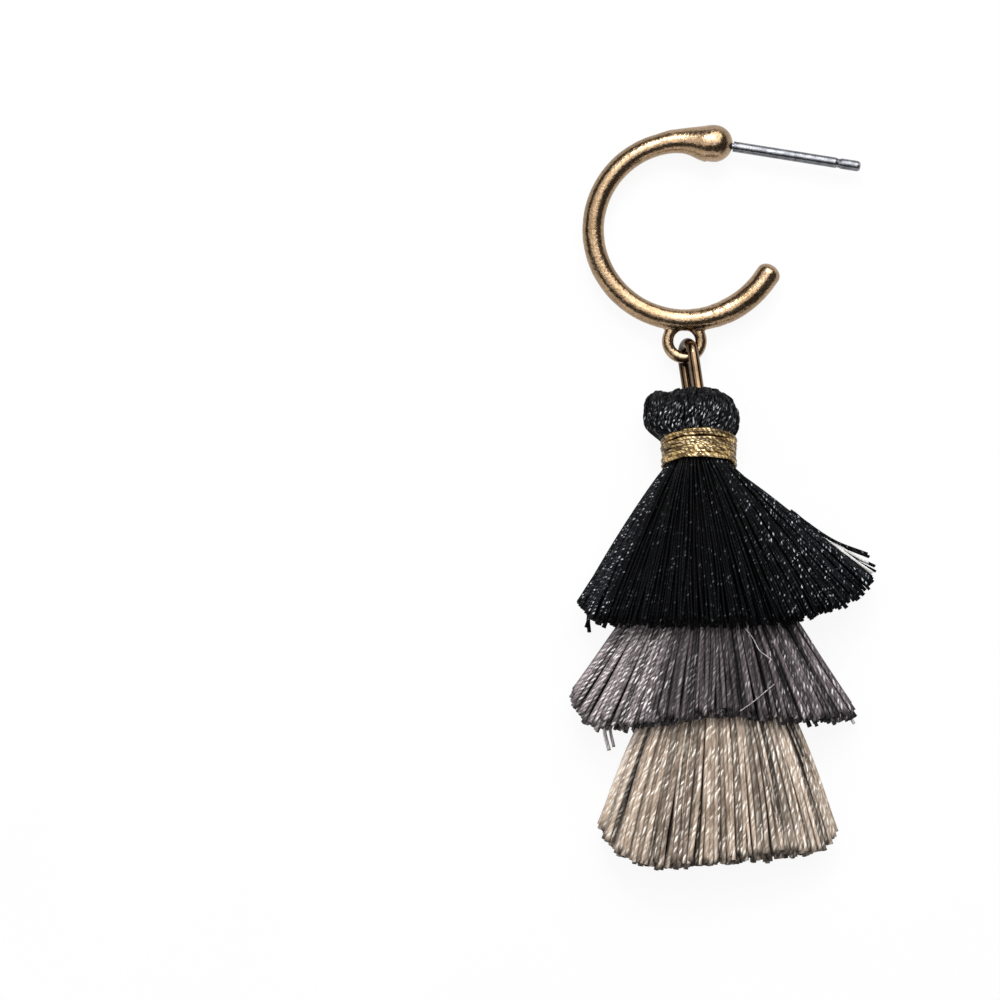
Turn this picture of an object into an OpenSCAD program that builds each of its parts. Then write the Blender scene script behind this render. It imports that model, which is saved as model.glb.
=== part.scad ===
// Tassel earring, lying on a flat surface. An open cast hoop carries an ear post and a
// small drop loop. A wire bail hangs in the loop and holds a tassel of three fringes.
// Each lower fringe has its head inside the fringe above it.
// Millimetres. +Z is up from the surface, +Y runs from the fringes to the hoop, and the
// ear post points to +X. The origin is the middle of the earring, on the surface.

/* [Hoop] */
// Outer diameter of the hoop
hoop_d = 17.45; // [16:0.05:20]
// Thickness of the hoop's wire
hoop_wire = 1.85; // [1.6:0.05:2.1]
// How much tighter the hoop is bent on the way to the bead
arm_tuck = 0.3; // [0.2:0.05:0.6]
// How much wider the hoop is bent on the way to the free end
arm_open = 0.39; // [0:0.03:0.48]
// Turn from +X at which the straight free end starts
free_end_turn = 325; // [315:1:335]
// Length of the straight free end
free_end_l = 1.35; // [1.2:0.1:2.4]
// Thickness that the hoop's wire grows to on the way to the free end
free_end_d = 2.1; // [2:0.05:2.4]

/* [Bead] */
// Diameter of the round end of the bead
bead_d = 3.2; // [2.8:0.1:3.8]
// Length of the bead from the hoop's wire to its round end
bead_l = 4; // [3.8:0.1:5.5]

/* [Drop loop] */
// Inner diameter of the drop loop
loop_hole = 1.84; // [1.8:0.02:2.4]
// Thickness of the drop loop's wire
loop_wire = 1; // [0.8:0.05:1.05]

/* [Ear post] */
// Diameter of the ear post
post_d = 0.9; // [0.7:0.05:1.1]
// Length of the ear post outside the bead
post_l = 11; // [9:0.5:13]
// Slope of the ear post in the plane of the hoop
post_slope = -9; // [-15:1:0]
// Distance from the clutch groove to the tip
groove_inset = 1.9; // [1.5:0.1:3]
// Depth of the clutch groove
groove_depth = 0.08; // [0.04:0.01:0.12]

/* [Bail] */
// Thickness of the bail's wire
bail_wire = 0.95; // [0.8:0.05:1]
// Inner width of the bail
bail_inner_w = 1.42; // [1.36:0.02:1.6]
// Distance between the middles of the bail's two bends
bail_span = 4.4; // [4.2:0.1:4.8]
// Roll of the bail about its length
bail_roll = 20; // [15:1:24]
// Rise of the bail from the loop to the head
bail_rise = 12; // [8:1:14]

/* [Head] */
// Width of the head of folded threads
head_w = 8.1; // [7:0.1:9]
// Height of the head over the surface
head_h = 6.3; // [5.8:0.1:7]
// Distance from the middle of the drop loop's wire to the top of the head
head_drop = 2.3; // [2.1:0.1:2.6]
// Length of the head from its top to the neck wrap
head_l = 4.5; // [4.3:0.1:5.5]

/* [Neck] */
// Diameter of the bound neck
neck_d = 5.7; // [5.2:0.1:6.2]
// Slope at which the neck rises towards the fringe
neck_rise = 17; // [8:1:22]
// Length of the neck wrap
wrap_l = 2.7; // [2:0.1:3.5]
// Thickness of the wrap's thread
wrap_thread = 0.34; // [0.25:0.01:0.4]

/* [Upper fringe] */
// Width of the upper fringe at its hem
upper_w = 25; // [22:0.5:28]
// Length of the upper fringe
upper_l = 12.9; // [11.5:0.1:15]
// Height of the upper fringe at its hem
upper_h = 7.4; // [7.2:0.1:8.5]

/* [Middle fringe] */
// Width of the middle fringe at its hem
middle_w = 24.9; // [22:0.5:28]
// Length of the middle fringe
middle_l = 15.9; // [14:0.1:18]
// Height of the middle fringe at its hem
middle_h = 6.3; // [6.1:0.1:6.6]
// Distance from the upper fringe's neck to the middle one's
middle_drop = 5.7; // [5.3:0.1:6.2]

/* [Lower fringe] */
// Width of the lower fringe at its hem
lower_w = 20.6; // [18:0.2:24]
// Length of the lower fringe
lower_l = 18.1; // [16:0.1:20]
// Height of the lower fringe at its hem
lower_h = 4.9; // [4.5:0.1:5.2]
// Distance from the middle fringe's neck to the lower one's
lower_drop = 9.8; // [9.2:0.1:10.2]

/* [Locks] */
// Number of locks round each fringe
locks = 30; // [24:1:32]
// Depth of the grooves between the locks at the hem
lock_groove = 0.42; // [0.2:0.02:0.6]
// How far the notches between the locks reach up from the hem
lock_notch = 0.7; // [0.3:0.1:1]

/* [Hidden] */
$fn = 64;

// Clearances: metal to metal, threads to metal and threads to threads
metal_gap = 0.05;
wire_gap = 0.12;
thread_gap = 0.28;

// Colours
antique_gold = "#b8935a";
post_steel = "#8d9094";
bail_gold = "#c9a86a";
wrap_gold = "#c8a75c";
black_thread = "#14171b";
grey_thread = "#655c63";
beige_thread = "#a89480";

// The hoop lies level, as high as its bead is round
hoop_r = hoop_d / 2 - hoop_wire / 2;
hoop_z = bead_d / 2;
arm_turn = 210;
arm_end_turn = 87;
arm_r = hoop_r - arm_tuck;
arm_at = arm_tuck * [cos(arm_turn), sin(arm_turn)];
arm_end = arm_at + arm_r * [cos(arm_end_turn), sin(arm_end_turn)];
free_arm_turn = 250;
thicken_turn = 273;
thicken_step = 7;
thicken_steps = 4;
free_arm_r = hoop_r + arm_open;
free_arm_at = -arm_open * [cos(free_arm_turn), sin(free_arm_turn)];
free_end = free_arm_at + free_arm_r * [cos(free_end_turn), sin(free_end_turn)];
free_end_nose = 0.8;

// The bead's round end is a half ball, and the post points out of its middle
bead_slope = arm_end_turn - 90;
bead_at = arm_end + (bead_l - bead_d / 2) * [cos(bead_slope), sin(bead_slope)];
tenon_shoulder = 0.18;
tenon_d = post_d - 2 * tenon_shoulder;
socket_l = bead_d / 2;
tenon_l = socket_l - 3 * metal_gap;
post_tip = bead_at + (bead_d / 2 + post_l) * [cos(post_slope), sin(post_slope)];
groove_l = 0.55;
tip_round = 0.28;

// The drop loop is sunk a little into the hoop's wire
loop_sink = 0.04;
loop_r = (loop_hole + loop_wire) / 2;
loop_y = -(hoop_d / 2 + loop_hole / 2 - loop_sink);

// How far the middles of the head and the necks lie to the right of the hoop's middle, as
// the tassel hangs a little askew
head_side = 0.47;
neck_side = 1.15;
middle_side = 2.35;
lower_side = 2.85;

// The bail's upper bend goes round the drop loop's wire, at this turn on the loop
bail_r = (bail_inner_w + bail_wire) / 2;
bail_turn = 284;
bail_at = [loop_r * cos(bail_turn), loop_y + loop_r * sin(bail_turn), hoop_z];
bail_yaw = 8;

// The head's middle, and the neck wrap, which rests on the surface at its lower edge
head_at = [head_side, loop_y - loop_r - head_drop, head_h / 2];
wrap_r = neck_d / 2 + metal_gap + wrap_thread;
wrap_step = 0.9 * wrap_thread;
// Thickness of the wrap between two turns, as a share of the thread's
wrap_valley = 0.55;
neck_top = [neck_side, head_at[1] - head_l, wrap_r * cos(neck_rise) + metal_gap];
neck_axis = [0, cos(neck_rise), -sin(neck_rise)];

// Columns of a tier: the middle of its neck, the neck's width and height, the neck's
// rise, the width, length and height at the hem, the hem's table, how the threads
// spread and settle on the way down, and the seed of the locks' small differences
AT = 0;
NECK = 1;
RISE = 2;
SIZE = 3;
HEM = 4;
SPREAD = 5;
SETTLE = 6;
SEED = 7;

// Columns of a hem's table, with a row every 30 degrees from the right edge over the
// top: reach as a share of the width, drop of the length and lift of the height
REACH = 0;
DROP = 1;
LIFT = 2;
upper_hem = [
    [0.61, 0.72, 0.3],
    [0.535, 0.85, 0.62],
    [0.347, 0.97, 0.92],
    [0.095, 1, 1],
    [-0.156, 1, 0.98],
    [-0.35, 1, 0.72],
    [-0.417, 0.88, 0.3],
    [-0.36, 0.97, 0.04],
    [-0.17, 0.94, 0],
    [0.09, 0.92, 0],
    [0.33, 0.88, 0],
    [0.525, 0.78, 0.04]
];
middle_hem = [
    [0.512, 0.95, 0.28],
    [0.444, 0.97, 0.64],
    [0.263, 0.98, 0.93],
    [0.01, 0.95, 1],
    [-0.239, 1, 0.96],
    [-0.43, 1, 0.7],
    [-0.5, 0.84, 0.3],
    [-0.435, 0.98, 0.03],
    [-0.25, 1.02, 0],
    [0, 0.96, 0],
    [0.25, 0.97, 0],
    [0.44, 0.96, 0.03]
];
lower_hem = [
    [0.512, 0.85, 0.3],
    [0.446, 0.93, 0.66],
    [0.262, 0.95, 0.92],
    [0.012, 0.98, 1],
    [-0.238, 1, 0.97],
    [-0.43, 0.94, 0.7],
    [-0.5, 0.83, 0.3],
    [-0.43, 0.93, 0.04],
    [-0.24, 0.97, 0],
    [0, 0.97, 0],
    [0.25, 0.93, 0],
    [0.44, 0.9, 0.04]
];

// The hidden necks: width and height as shares of the bound neck's, and the height of
// their middle as a share of the hem's height on the fringe around them
middle_neck = neck_d * [0.98, 0.93];
lower_neck = neck_d * [0.91, 0.67];
middle_neck_z = 0.48 * upper_h;
lower_neck_z = 0.54 * middle_h;

// The three tiers hang from one another
upper_at = neck_top - wrap_l * neck_axis;
middle_at = [middle_side, upper_at[1] - middle_drop, middle_neck_z];
lower_at = [lower_side, middle_at[1] - lower_drop, lower_neck_z];
upper_tier = [
    upper_at, [neck_d, neck_d], neck_rise, [upper_w, upper_l, upper_h], upper_hem, 1, 0.45, 11
];
middle_tier = [
    middle_at, middle_neck, 0, [middle_w, middle_l, middle_h], middle_hem, 1, 2.5, 23
];
lower_tier = [
    lower_at, lower_neck, 0, [lower_w, lower_l, lower_h], lower_hem, 0.66, 2.5, 37
];

// Rows of a fringe from the neck to the hem, as shares of the threads' length
fringe_rows = [0, 0.05, 0.13, 0.25, 0.4, 0.55, 0.7, 0.86, 1];
// Rows of the hidden heads, as rise over the neck and share of its width
hidden_head = [[2.3, 0.55], [1.9, 0.85], [1, 1]];
// How far along the lower tier's threads the mouth of the fringe above it stands
upper_mouth = 0.42;
middle_mouth = 0.3;
// Least distance between the mouth and the next row inside
mouth_space = 0.03;
// The blind end of the lowest fringe, as shares of its length and height, and the first
// row inside its hem, as a share of the way to that end and a rise from the hem
heart_share = [0.9, 0.5];
rim_share = 0.15;
rim_rise = 0.4;

// The middle of the earring, from its furthest points
left_x = middle_at[0] + middle_w * middle_hem[6][REACH];
right_x = max(upper_at[0] + upper_w * upper_hem[0][REACH], post_tip[0]);
top_y = bead_at[1] + bead_d / 2;
bottom_y = lower_at[1] - lower_l;
middle = [(left_x + right_x) / 2, (top_y + bottom_y) / 2];

// Rows of the head from its crown to the neck: rise as a share of its length, and the
// width and height as shares of the head's
head_rows = [
    [1, 0.76, 0.26],
    [0.95, 0.9, 0.55],
    [0.8, 0.98, 0.86],
    [0.52, 1, 1],
    [0.24, 0.95, 0.94]
];
// How high the threads fold over across the head, from its left edge to its right one:
// a lobe at the left, a dip beside it and a low shoulder at the right
head_outline = [
    [-1, 0.92],
    [-0.74, 0.99],
    [-0.54, 0.9],
    [-0.34, 0.94],
    [0, 1],
    [0.3, 0.99],
    [0.56, 0.93],
    [0.8, 0.8],
    [1, 0.66]
];
// Depth of the grooves between the folds of the head
fold_groove = 0.2;
// Where the folds meet on the crown, as shares of half the head's width and of its length
crown = [-0.3, 0.95];

// Puts what is drawn about the hoop's middle into the earring's own frame
module placed() {
    translate([-middle[0], -middle[1], 0]) children();
}

// Smooth value of a column between the rows of a closed table
function row_value(table, i, column) = table[(i + len(table)) % len(table)][column];
function cubic(a, b, c, d, f) =
    b + f / 2 * (c - a + f * (2 * a - 5 * b + 4 * c - d + f * (3 * (b - c) + d - a)));
function ring_value(table, turn, column) =
    let (
        u = turn / 360 * len(table),
        i = floor(u)
    )
    cubic(
        row_value(table, i - 1, column),
        row_value(table, i, column),
        row_value(table, i + 1, column),
        row_value(table, i + 2, column),
        u - i
    );

// A ring round a tier's neck, raised along the neck's axis
function neck_point(tier, turn, rise, share) =
    tier[AT]
    + rise * [0, cos(tier[RISE]), -sin(tier[RISE])]
    + share / 2 * [
        tier[NECK][0] * cos(turn),
        tier[NECK][1] * sin(turn) * sin(tier[RISE]),
        tier[NECK][1] * sin(turn) * cos(tier[RISE])
    ];

// Where a thread ends at the hem
function hem_point(tier, turn) = [
    tier[AT][0] + tier[SIZE][0] * ring_value(tier[HEM], turn, REACH),
    tier[AT][1] - tier[SIZE][1] * ring_value(tier[HEM], turn, DROP),
    tier[SIZE][2] * max(0, ring_value(tier[HEM], turn, LIFT))
];

// A point on a thread, at a share of its way from the neck to the hem
function thread_point(tier, turn, t) =
    let (
        a = neck_point(tier, turn, 0, 1),
        b = hem_point(tier, turn)
    )
    [
        a[0] + (b[0] - a[0]) * pow(t, tier[SPREAD]),
        a[1] + (b[1] - a[1]) * t,
        a[2] + (b[2] - a[2]) * pow(t, tier[SETTLE])
    ];

// The same point moved out across the fringe, and never under the surface
function moved_out(tier, turn, t, out) =
    let (
        p = thread_point(tier, turn, t),
        d = thread_point(tier, turn + 2, t) - thread_point(tier, turn - 2, t),
        n = [d[2], 0, -d[0]] / norm([d[2], 0, -d[0]])
    )
    [p[0] + out * n[0], p[1], max(0, p[2] + out * n[2])];

// Four points round each lock: the groove before it, its two sides and its crest
side_points = 4;
points_round = side_points * locks;
groove_shape = [1, 0.3, 0, 0.3];
// Depth of the grooves at the neck, as a share of their depth at the hem
neck_groove = 0.25;
// How far the locks stand out and reach down by chance, in millimetres and as a share
// of the threads' length
lock_stand = [-0.14, 0.06];
lock_reach = [-0.03, 0.01];
// How far the locks are drawn from the sides to the top and the bottom, in degrees
lock_pull = 12;

// The turn of a point, with the crest of the first lock at the right edge
function turn_of(j) =
    let (even = 360 * (j - side_points / 2) / points_round)
    even + lock_pull * sin(2 * even);

// One row of a fringe with its locks
function lock_row(tier, t) =
    let (
        stand = rands(lock_stand[0], lock_stand[1], locks, tier[SEED]),
        reach = rands(lock_reach[0], lock_reach[1], locks, tier[SEED] + 1),
        deep = lock_groove * (neck_groove + (1 - neck_groove) * t),
        notch = lock_notch / tier[SIZE][1]
    )
    [
        for (j = [0:points_round - 1])
            let (
                lock = floor(j / side_points),
                groove = groove_shape[j % side_points],
                end = 1 + reach[lock] - notch * groove
            )
            moved_out(tier, turn_of(j), t * end, stand[lock] * t * (1 - groove) - deep * groove)
    ];

// The rows of a neck or hidden head
function neck_row(tier, rise, share) = [
    for (j = [0:points_round - 1]) neck_point(tier, turn_of(j), rise, share)
];

// One row of the head, with the locks' grooves running on over it as folds
function head_row(row) = [
    for (j = [0:points_round - 1])
        let (
            turn = turn_of(j),
            groove = fold_groove * groove_shape[j % side_points],
            across = row[1] * cos(turn),
            rise = row[0] * head_l * lookup(across, head_outline)
        )
        [
            head_at[0] + (head_w / 2 - groove) * across,
            neck_top[1] + rise,
            head_at[2] + (head_h / 2 - groove) * row[2] * sin(turn)
        ]
];
head_tip = [head_at[0] + crown[0] * head_w / 2, neck_top[1] + crown[1] * head_l, head_at[2]];

// The inside of a fringe: the tier below it, moved out by the clearance
function hollow_row(below, t) = [
    for (j = [0:points_round - 1]) moved_out(below, turn_of(j), t, thread_gap)
];
function hollow_neck_row(below, rise, share) =
    let (wider = share + 2 * thread_gap / below[NECK][1])
    neck_row(below, rise, wider);

// A closed skin over rows of points, with a tip at each end
module skin(rows, first_tip, last_tip) {
    n = len(rows[0]);
    m = len(rows);
    points = concat([first_tip], [for (row = rows) for (p = row) p], [last_tip]);
    faces = concat(
        [for (j = [0:n - 1]) [0, 1 + (j + 1) % n, 1 + j]],
        [
            for (i = [0:m - 2]) for (j = [0:n - 1])
                let (
                    a = 1 + i * n + j,
                    b = 1 + i * n + (j + 1) % n
                )
                each [[a, b, b + n], [a, b + n, a + n]]
        ],
        [for (j = [0:n - 1]) [1 + (m - 1) * n + j, 1 + (m - 1) * n + (j + 1) % n, 1 + m * n]]
    );
    polyhedron(points, faces);
}

// The rows of a fringe's outside, and of its inside over the tier below it
function outside(tier) = [for (t = fringe_rows) lock_row(tier, t)];
function inside(below, mouth) = concat(
    [hollow_row(below, mouth)],
    [
        for (i = [len(fringe_rows) - 1:-1:0])
            if (fringe_rows[i] < mouth - mouth_space) hollow_row(below, fringe_rows[i])
    ],
    [
        for (i = [len(hidden_head) - 1:-1:0])
            hollow_neck_row(below, hidden_head[i][0], hidden_head[i][1])
    ]
);
function inside_tip(below) = neck_point(below, 0, hidden_head[0][0] + thread_gap, 0);

// A revolved end of the casting: it comes out of the end of the ring of wire, swells to
// another thickness and ends round. Its lead lies inside the ring at first.
module cast_end(length, lead, start_d, end_d, nose) {
    steps = 10;
    swell = [
        for (i = [0:steps])
            let (f = i / steps, share = (1 - cos(180 * pow(f, 1.1))) / 2)
            [start_d / 2 + (end_d - start_d) / 2 * share, (length - nose + lead) * f - lead]
    ];
    round_end = [
        for (i = [1:steps])
            let (a = 90 * i / steps)
            [end_d / 2 * cos(a), length - nose + nose * sin(a)]
    ];
    rotate([-90, 0, 0]) rotate_extrude() polygon(concat([[0, -lead]], swell, round_end));
}

// A stretch of a ring of wire
module wire_arc(ring_r, wire_d, from, to) {
    rotate([0, 0, from])
        rotate_extrude(angle = to - from)
            translate([ring_r, 0])
                circle(d = wire_d);
}

module hoop() {
    color(antique_gold)
        placed()
            translate([0, 0, hoop_z])
                difference() {
                    union() {
                        wire_arc(hoop_r, hoop_wire, arm_turn, free_arm_turn);
                        translate(arm_at) wire_arc(arm_r, hoop_wire, arm_end_turn, arm_turn);
                        translate(free_arm_at) free_arm();
                        translate(arm_end)
                            rotate([0, 0, bead_slope - 90])
                                cast_end(bead_l, 1, hoop_wire - 0.16, bead_d, bead_d / 2);
                        translate(free_end)
                            rotate([0, 0, free_end_turn])
                                cast_end(free_end_l, 0, free_end_d, free_end_d, free_end_nose);
                        translate([0, loop_y, 0]) wire_arc(loop_r, loop_wire, 0, 360);
                    }
                    translate(bead_at)
                        rotate([0, 90, post_slope])
                            cylinder(d = tenon_d + 2 * metal_gap, h = 2 * socket_l);
                }
}

// The free arm, whose wire grows thicker in small steps. Each step reaches into the next.
module free_arm() {
    wire_arc(free_arm_r, hoop_wire, free_arm_turn, thicken_turn + 1);
    for (i = [1:thicken_steps])
        let (from = thicken_turn + (i - 1) * thicken_step)
        wire_arc(
            free_arm_r,
            hoop_wire + (free_end_d - hoop_wire) * i / thicken_steps,
            from,
            i == thicken_steps ? free_end_turn : from + thicken_step + 1
        );
}

module ear_post() {
    shoulder = bead_d / 2 + metal_gap;
    end = bead_d / 2 + post_l;
    groove = end - groove_inset;
    r = post_d / 2;
    tip = [for (a = [0:30:90]) [r - tip_round * (1 - cos(a)), end - tip_round * (1 - sin(a))]];
    color(post_steel)
        placed()
            translate([bead_at[0], bead_at[1], hoop_z])
                rotate([0, 90, post_slope])
                    rotate_extrude()
                        polygon(concat(
                            [
                                [0, shoulder - tenon_l],
                                [tenon_d / 2, shoulder - tenon_l],
                                [tenon_d / 2, shoulder],
                                [r, shoulder],
                                [r, groove - groove_l / 2],
                                [r - groove_depth, groove],
                                [r, groove + groove_l / 2]
                            ],
                            tip,
                            [[0, end]]
                        ));
}

// Draws in the bail's own plane, with the middle of its upper bend at zero and its length
// along -Y
module bail_frame() {
    translate(bail_at)
        rotate([0, 0, bail_yaw])
            rotate([-bail_rise, 0, 0])
                rotate([0, bail_roll - 90, 0])
                    children();
}

// The bail's link, or the way through the threads that it needs, by its thickness
module link(wire_d) {
    bail_frame() {
        wire_arc(bail_r, wire_d, 0, 180);
        translate([0, -bail_span, 0]) wire_arc(bail_r, wire_d, 180, 360);
        for (side = [-1, 1])
            translate([side * bail_r, 0, 0])
                rotate([90, 0, 0])
                    cylinder(d = wire_d, h = bail_span);
    }
}

module bail() {
    color(bail_gold) placed() link(bail_wire);
}

module upper_tassel() {
    color(black_thread)
        placed()
            difference() {
                skin(
                    concat(
                        [for (row = head_rows) head_row(row)],
                        [neck_row(upper_tier, wrap_l, 1)],
                        outside(upper_tier),
                        inside(middle_tier, upper_mouth)
                    ),
                    head_tip,
                    inside_tip(middle_tier)
                );
                link(bail_wire + 2 * wire_gap);
            }
}

module neck_wrap() {
    turns = floor(wrap_l / wrap_step);
    inner = neck_d / 2 + metal_gap;
    step = wrap_l / turns;
    steps = 6;
    outline = [
        for (i = [0:turns * steps])
            let (f = i / steps)
            [
                inner + wrap_thread * (wrap_valley + (1 - wrap_valley) * abs(sin(180 * f))),
                step * f
            ]
    ];
    color(wrap_gold)
        placed()
            translate(upper_at)
                rotate([-90 - neck_rise, 0, 0])
                    rotate_extrude()
                        polygon(concat([[inner, 0]], outline, [[inner, wrap_l]]));
}

module middle_tassel() {
    color(grey_thread)
        placed()
            skin(
                concat(
                    [for (row = hidden_head) neck_row(middle_tier, row[0], row[1])],
                    outside(middle_tier),
                    inside(lower_tier, middle_mouth)
                ),
                neck_point(middle_tier, 0, hidden_head[0][0], 0),
                inside_tip(lower_tier)
            );
}

module lower_tassel() {
    hem = lock_row(lower_tier, 1);
    heart = [lower_at[0], lower_at[1] - heart_share[0] * lower_l, heart_share[1] * lower_h];
    rim = [for (p = hem) p + [0, rim_rise, 0] + rim_share * (heart - p)];
    color(beige_thread)
        placed()
            skin(
                concat(
                    [for (row = hidden_head) neck_row(lower_tier, row[0], row[1])],
                    outside(lower_tier),
                    [rim]
                ),
                neck_point(lower_tier, 0, hidden_head[0][0], 0),
                heart
            );
}

hoop();
ear_post();
bail();
upper_tassel();
neck_wrap();
middle_tassel();
lower_tassel();
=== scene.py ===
import math

import bmesh
import bpy
import numpy as np
from mathutils import Matrix, Vector


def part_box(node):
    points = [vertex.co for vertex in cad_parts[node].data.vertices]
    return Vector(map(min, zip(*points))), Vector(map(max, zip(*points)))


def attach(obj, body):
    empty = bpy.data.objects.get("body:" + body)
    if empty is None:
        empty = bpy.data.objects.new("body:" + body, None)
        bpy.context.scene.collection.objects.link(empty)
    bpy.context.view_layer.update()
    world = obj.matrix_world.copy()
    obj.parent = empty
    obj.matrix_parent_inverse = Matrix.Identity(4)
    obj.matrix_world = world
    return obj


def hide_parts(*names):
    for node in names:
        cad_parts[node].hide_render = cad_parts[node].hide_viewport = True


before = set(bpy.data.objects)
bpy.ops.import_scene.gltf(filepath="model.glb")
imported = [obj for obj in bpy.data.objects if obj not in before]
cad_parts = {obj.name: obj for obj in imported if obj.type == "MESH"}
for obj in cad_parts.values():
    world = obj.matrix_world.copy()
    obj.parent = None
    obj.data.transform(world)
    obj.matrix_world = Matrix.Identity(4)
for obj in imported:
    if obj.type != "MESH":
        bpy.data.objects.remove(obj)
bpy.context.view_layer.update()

# The looks of a layered tassel earring that lies on a pale surface.
# Lengths are millimetres until a mesh is made. +Z is up, +Y runs from the fringes to the
# hoop and +X is the side that the ear post points to.
MM = 0.001


def box(node):
    """Lowest and highest corners of a CAD node in millimetres."""
    low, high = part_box(node)
    return np.array(low) / MM, np.array(high) / MM


# Columns of a hem's table, with a row every 30 degrees from the right edge over the top:
# reach as a share of the width, drop of the length and lift of the height
REACH, DROP, LIFT = 0, 1, 2
UPPER_HEM = [
    [0.61, 0.72, 0.3],
    [0.535, 0.85, 0.62],
    [0.347, 0.97, 0.92],
    [0.095, 1, 1],
    [-0.156, 1, 0.98],
    [-0.35, 1, 0.72],
    [-0.417, 0.88, 0.3],
    [-0.36, 0.97, 0.04],
    [-0.17, 0.94, 0],
    [0.09, 0.92, 0],
    [0.33, 0.88, 0],
    [0.525, 0.78, 0.04],
]
MIDDLE_HEM = [
    [0.512, 0.95, 0.28],
    [0.444, 0.97, 0.64],
    [0.263, 0.98, 0.93],
    [0.01, 0.95, 1],
    [-0.239, 1, 0.96],
    [-0.43, 1, 0.7],
    [-0.5, 0.84, 0.3],
    [-0.435, 0.98, 0.03],
    [-0.25, 1.02, 0],
    [0, 0.96, 0],
    [0.25, 0.97, 0],
    [0.44, 0.96, 0.03],
]
LOWER_HEM = [
    [0.512, 0.85, 0.3],
    [0.446, 0.93, 0.66],
    [0.262, 0.95, 0.92],
    [0.012, 0.98, 1],
    [-0.238, 1, 0.97],
    [-0.43, 0.94, 0.7],
    [-0.5, 0.83, 0.3],
    [-0.43, 0.93, 0.04],
    [-0.24, 0.97, 0],
    [0, 0.97, 0],
    [0.25, 0.93, 0],
    [0.44, 0.9, 0.04],
]


def cubic(a, b, c, d, f):
    """Catmull-Rom value between b and c."""
    return b + f / 2 * (c - a + f * (2 * a - 5 * b + 4 * c - d + f * (3 * (b - c) + d - a)))


def ring_value(table, turn, column):
    """Smooth value of a column between the rows of a closed table."""
    values = np.array(table)[:, column]
    u = turn / 360 * len(values)
    i = np.floor(u).astype(int)
    return cubic(*(values[(i + k) % len(values)] for k in (-1, 0, 1, 2)), u - i)


def smooth_path(points, count):
    """A Catmull-Rom curve through rows of points, shape (..., n, 3), at count even steps."""
    points = np.asarray(points, float)
    first = 2 * points[..., :1, :] - points[..., 1:2, :]
    last = 2 * points[..., -1:, :] - points[..., -2:-1, :]
    p = np.concatenate([first, points, last], axis=-2)
    u = np.linspace(0, points.shape[-2] - 1, count)
    i = np.minimum(u.astype(int), points.shape[-2] - 2)
    f = (u - i)[:, None]
    return cubic(p[..., i, :], p[..., i + 1, :], p[..., i + 2, :], p[..., i + 3, :], f)


# The tiers of the tassel, worked out from the boxes of their CAD solids. A hidden neck has
# a width and a height, and lies at a share of the height of the fringe above it.
HIDDEN_HEAD = 2.3   # how far a hidden head rises over its neck
LOCK_INSET = 0.18   # how far the solids' locks stay inside the outline of a hem
NECK_D = 5.7
NECK_RISE = math.radians(17)
MIDDLE_NECK = [5.6, 5.3]
MIDDLE_NECK_AT = 0.48
LOWER_NECK = [5.2, 3.8]
LOWER_NECK_AT = 0.54
WRAP_L = 2.7
NECK_AXIS = np.array([0, math.cos(NECK_RISE), -math.sin(NECK_RISE)])
wrap_low, wrap_high = box("neck_wrap")
upper_low, upper_high = box("upper_tassel")
middle_low, middle_high = box("middle_tassel")
lower_low, lower_high = box("lower_tassel")
wrap_middle = (wrap_low + wrap_high) / 2
upper_neck = wrap_middle - WRAP_L / 2 * NECK_AXIS
neck_top = wrap_middle + WRAP_L / 2 * NECK_AXIS


class Tier:
    """One fringe: where its neck is, how wide it is, and the hem that its threads reach.
    Spread and settle are the powers by which a thread goes sideways and down to the hem."""

    def __init__(self, low, high, neck_y, neck_z, neck, rise, hem, spread, settle, seed):
        reach, drop = np.array(hem)[:, REACH], np.array(hem)[:, DROP]
        width = (high[0] - low[0] + 2 * LOCK_INSET) / np.ptp(reach)
        self.at = np.array([low[0] - LOCK_INSET - width * reach.min(), neck_y, neck_z])
        self.size = [width, (neck_y - low[1]) / drop.max(), high[2]]
        self.neck, self.rise, self.hem = neck, rise, hem
        self.spread, self.settle, self.seed = spread, settle, seed

    def neck_point(self, turn, back=0.0):
        """A point on the neck's end, or back from it along the neck's axis."""
        c, s = np.cos(np.radians(turn)), np.sin(np.radians(turn))
        x = self.at[0] + self.neck[0] / 2 * c
        y = self.at[1] + back * math.cos(self.rise) + self.neck[1] / 2 * s * math.sin(self.rise)
        z = self.at[2] - back * math.sin(self.rise) + self.neck[1] / 2 * s * math.cos(self.rise)
        return np.stack([x, y, z], -1)

    def hem_point(self, turn):
        """A point on the outline of the hem."""
        x = self.at[0] + self.size[0] * ring_value(self.hem, turn, REACH)
        y = self.at[1] - self.size[1] * ring_value(self.hem, turn, DROP)
        z = self.size[2] * np.maximum(0, ring_value(self.hem, turn, LIFT))
        return np.stack([x, y, z], -1)

    def point(self, turn, t):
        """A point on a thread, at a share of its way from the neck to the hem."""
        t = np.broadcast_to(t, turn.shape)
        a, b = self.neck_point(turn), self.hem_point(turn)
        up = np.clip(t, 0, None)
        share = np.stack([up ** self.spread, t, up ** self.settle], -1)
        return a + (b - a) * share

    def moved_out(self, turn, t, out):
        """The same point moved out across the fringe by a number of millimetres."""
        p = self.point(turn, t)
        d = self.point(turn + 2, t) - self.point(turn - 2, t)
        n = np.stack([d[..., 2], np.zeros_like(turn), -d[..., 0]], -1)
        n /= np.linalg.norm(n, axis=-1, keepdims=True)
        return p + np.asarray(out)[..., None] * n


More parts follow.
